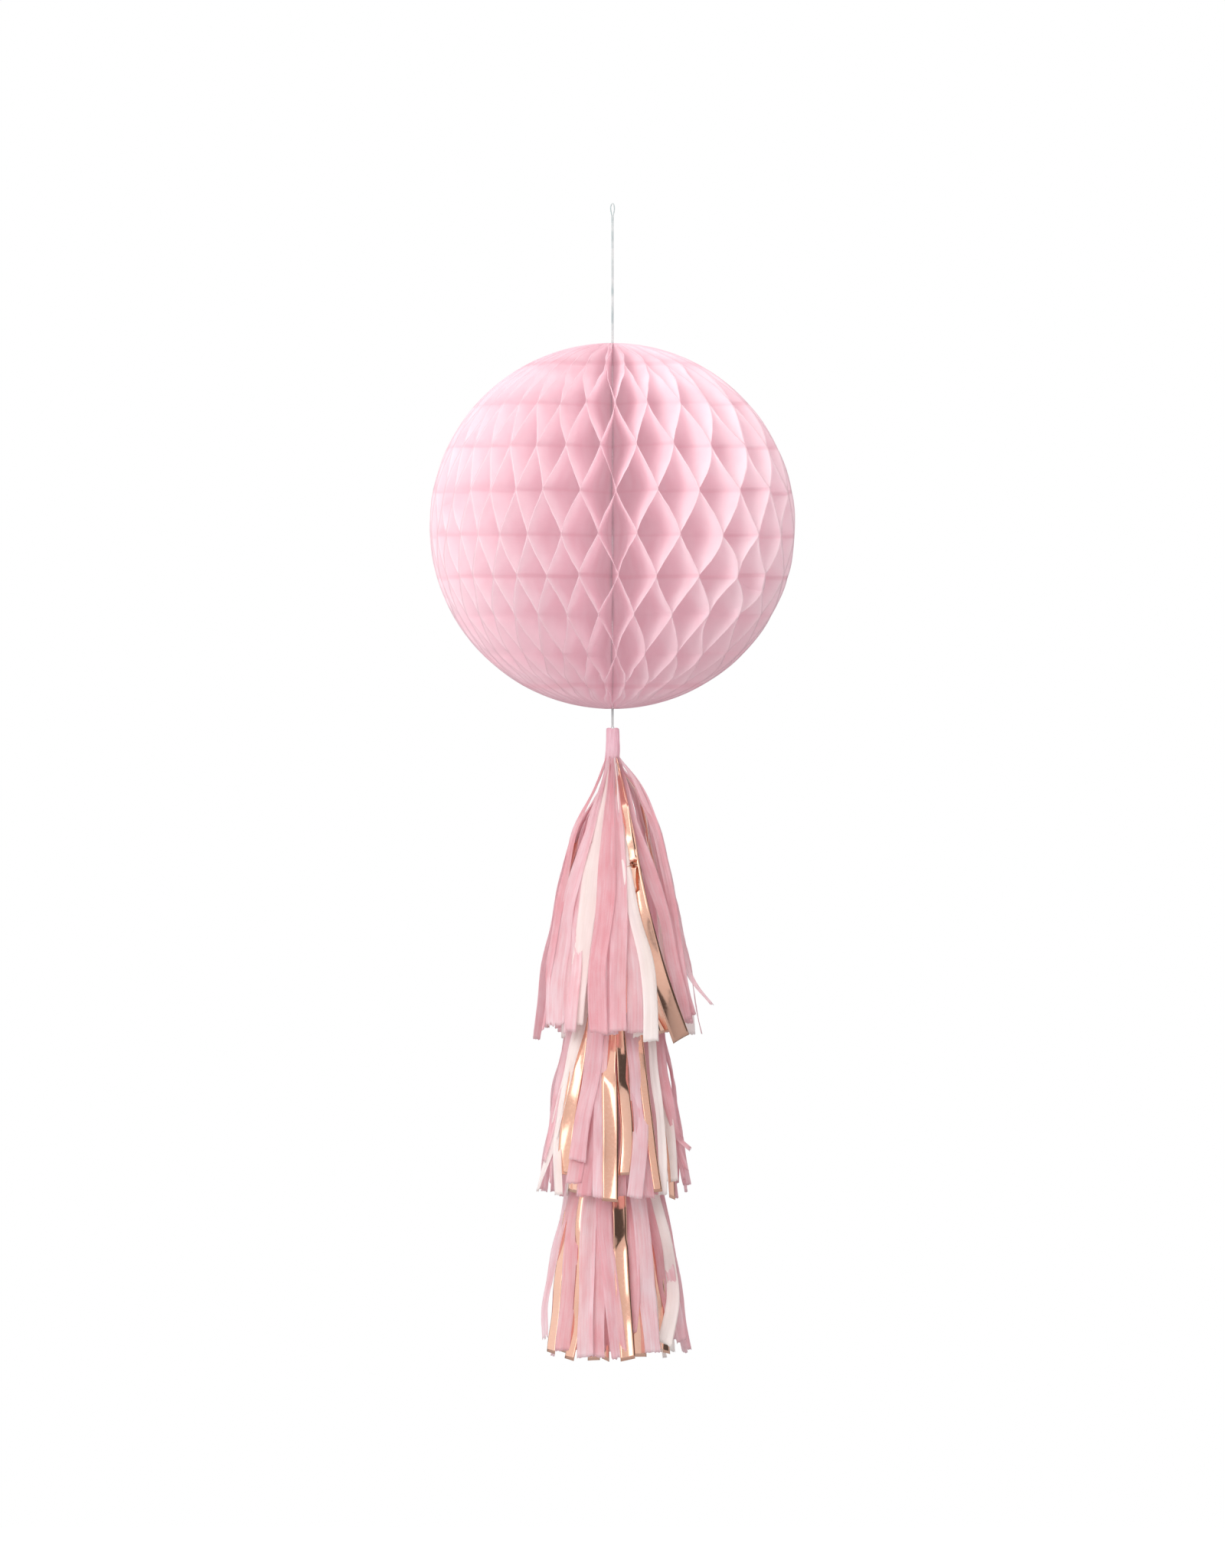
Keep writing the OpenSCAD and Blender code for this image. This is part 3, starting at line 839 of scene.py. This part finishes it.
def back_strips(tassel):
    """Strips of the sides and back, and a few inside, in the same mix of kinds."""
    made = []
    for n, azimuth in enumerate(OUTER_AZIMUTHS):
        kind = FOIL if n % 7 == 1 else IVORY if n % 5 == 0 else PINK
        behind = 1 if 95 < azimuth < 265 else 0.72    # the front's strips cover the ones beside them
        drift = rng.uniform(-8, 8)
        if tassel.tier == "upper":
            drift = parted(azimuth, drift)
        line, facing = round_line(tassel, azimuth + rng.uniform(-3, 3), drift,
                                  behind * rng.uniform(0.85, 0.98), rng.uniform(0.93, 0.995),
                                  STRIP_ROWS)
        made.append((kind, line, facing, rng.uniform(13, 16) * MM, rng.uniform(-15, 15),
                     rng.uniform(-20, 20)))
    for n, azimuth in enumerate(INNER_AZIMUTHS):
        kind = FOIL if n % 3 == 1 else PINK
        line, facing = round_line(tassel, azimuth, rng.uniform(-8, 8), rng.uniform(0.74, 0.8),
                                  rng.uniform(0.92, 0.97), STRIP_ROWS)
        made.append((kind, line, facing, rng.uniform(12, 14) * MM, 0.0, rng.uniform(-40, 40)))
    return made


def front_strips(tassel, strips):
    """What strip_shell needs for each strip of the front."""
    return [(strip.kind, *front_line(tassel, strip, STRIP_ROWS), strip.width * MM, strip.roll,
             strip.twist, strip.tip, strip.torn, strip.opening, strip.crease) for strip in strips]


def hang_strips(tassel, strips, materials):
    """One piece for each kind of strip in a tassel."""
    for kind, material in materials.items():
        batch, lengths, widths = Batch(), [], []
        for strip in strips:
            if strip[0] == kind:
                points, faces, flat, run = strip_shell(*strip)
                batch.add(points, faces, flat, tone=rng.uniform(0, 1))
                lengths.append(run)
                widths.append(strip[3])
        piece = batch.piece(f"{tassel.tier}_{kind}_ribbons", material)
        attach(piece, tassel.body)
        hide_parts(f"{tassel.tier}_tassel_{kind}_strips")


def tassels():
    materials = {
        PINK: strip_tissue_material("pink_strip_tissue", srgb("F5E9ED"), srgb("EBB8C0")),
        IVORY: strip_tissue_material("ivory_tissue", srgb("FDFBFA"), srgb("F6F0ED"), clear=0.1),
        FOIL: foil_material()}
    neck_tissue = strip_tissue_material("neck_tissue", srgb("FAEBF1"), srgb("F0BECC"), clear=0)
    for tassel, front in zip(TASSELS, FRONT_STRIPS):
        neck(tassel, neck_tissue)
        knot(tassel.tier + "_tie_wrap", tassel.tier + "_tassel_tie", tassel.body, TIE_KNOT_SIZE)
        hang_strips(tassel, front_strips(tassel, front) + back_strips(tassel), materials)


tassels()

# ---- CAD nodes that keep their shape ----


def keep_node(node, material):
    """Gives a CAD node its material."""
    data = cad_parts[node].data
    data.materials.clear()
    data.materials.append(material)


CARD = card_material()
for node in ("fixed_card_board", "opening_card_board"):
    keep_node(node, CARD)
keep_node("adhesive_tabs", foam_material())
keep_node("spine_thread", spine_material())

# ---- floor and light ----

FLOOR_Z = -1.33                    # well below the tail, which hangs free
FLOOR_HALF = 6
# Patches in front of the object that the foil mirrors: from and to in X, then in Z, as directions
SOFT_BOX = (-0.5, -0.18, 0.1, 0.65)
DARK_SCREEN = (0.42, 1.2, -0.7, 0.55)


def make_floor():
    """Plain pale floor, pure white where the camera sees it."""
    mesh = bpy.data.meshes.new("floor")
    signs = ((-1, -1), (1, -1), (1, 1), (-1, 1))
    corners = [(x * FLOOR_HALF, y * FLOOR_HALF, FLOOR_Z) for x, y in signs]
    mesh.from_pydata(corners, [], [(0, 1, 2, 3)])
    material, g = new_material("floor")
    seen = g.add("LightPath", out=0)
    glow = g.add("Emission", WHITE, g.math("MULTIPLY", seen, 0.75))
    plain = g.add("BsdfDiffuse", g.mix(seen, (0.3, 0.3, 0.3, 1), (0.8, 0.8, 0.8, 1)))
    g.output(g.add("AddShader", plain, glow))
    mesh.materials.append(material)
    floor = bpy.data.objects.new("floor", mesh)
    bpy.context.collection.objects.link(floor)


def make_key_light():
    """Large soft light from the upper left of the viewer."""
    place, aim = Vector((-1.4, -3.3, 0.7)), Vector((0, 0, -0.45))
    data = bpy.data.lights.new("key", "AREA")
    data.size = 1.8
    data.energy = 92
    light = bpy.data.objects.new("key", data)
    light.location = place
    light.visible_glossy = False                      # foil mirrors the world's soft box instead
    light.rotation_euler = (aim - place).to_track_quat("-Z", "Y").to_euler()
    bpy.context.collection.objects.link(light)


def make_world():
    """White to the camera. As a light, a ceiling glow, brighter to the left, with a soft box left of
    the viewer. Only mirrored light shows the dark screen to the right."""
    world = bpy.data.worlds.new("studio")
    bpy.context.scene.world = world
    g = Graph(world)
    where = g.add("TexCoord", out=0)
    x, y, z = (g.add("SeparateXYZ", where, out=k) for k in range(3))

    def patch(x_from, x_to, z_from, z_to, soft=0.07):
        """1 inside a patch in front of the object, 0 outside it."""
        sides = [g.ramp(x, x_from, x_from + soft), g.ramp(x, x_to - soft, x_to, 1, 0),
                 g.ramp(z, z_from, z_from + soft), g.ramp(z, z_to - soft, z_to, 1, 0)]
        inside = g.ramp(y, -0.2, -0.05, 1, 0)
        for side in sides:
            inside = g.math("MULTIPLY", inside, side)
        return inside

    level = g.math("ADD", g.ramp(z, -0.6, 0.3, 0.65, 0.9), g.ramp(x, -1, 1, 0.15, -0.15))
    level = g.math("ADD", level, g.ramp(z, 0.55, 0.85, 0, 1.0))
    level = g.math("ADD", level, g.math("MULTIPLY", patch(*SOFT_BOX), 2.0))
    screen = g.math("MULTIPLY", patch(*DARK_SCREEN), 0.87)
    screen = g.math("MULTIPLY", screen, g.add("LightPath", out="Is Glossy Ray"))
    level = g.math("MULTIPLY", level, g.math("SUBTRACT", 1.0, screen))
    tint = g.mix(g.ramp(y, -1, 1), (1, 0.985, 0.97, 1), (0.97, 0.985, 1, 1))
    soft = g.add("Background", tint, level)
    white = g.add("Background", WHITE, 1.0)
    shader = g.add("MixShader", g.add("LightPath", out=0), soft, white)
    g.tree.links.new(shader, g.add("OutputWorld", out=None).inputs["Surface"])


make_floor()
make_world()
make_key_light()
bpy.context.scene.view_settings.view_transform = "Standard"

# ---- last update of the scene ----

bpy.context.view_layer.update()
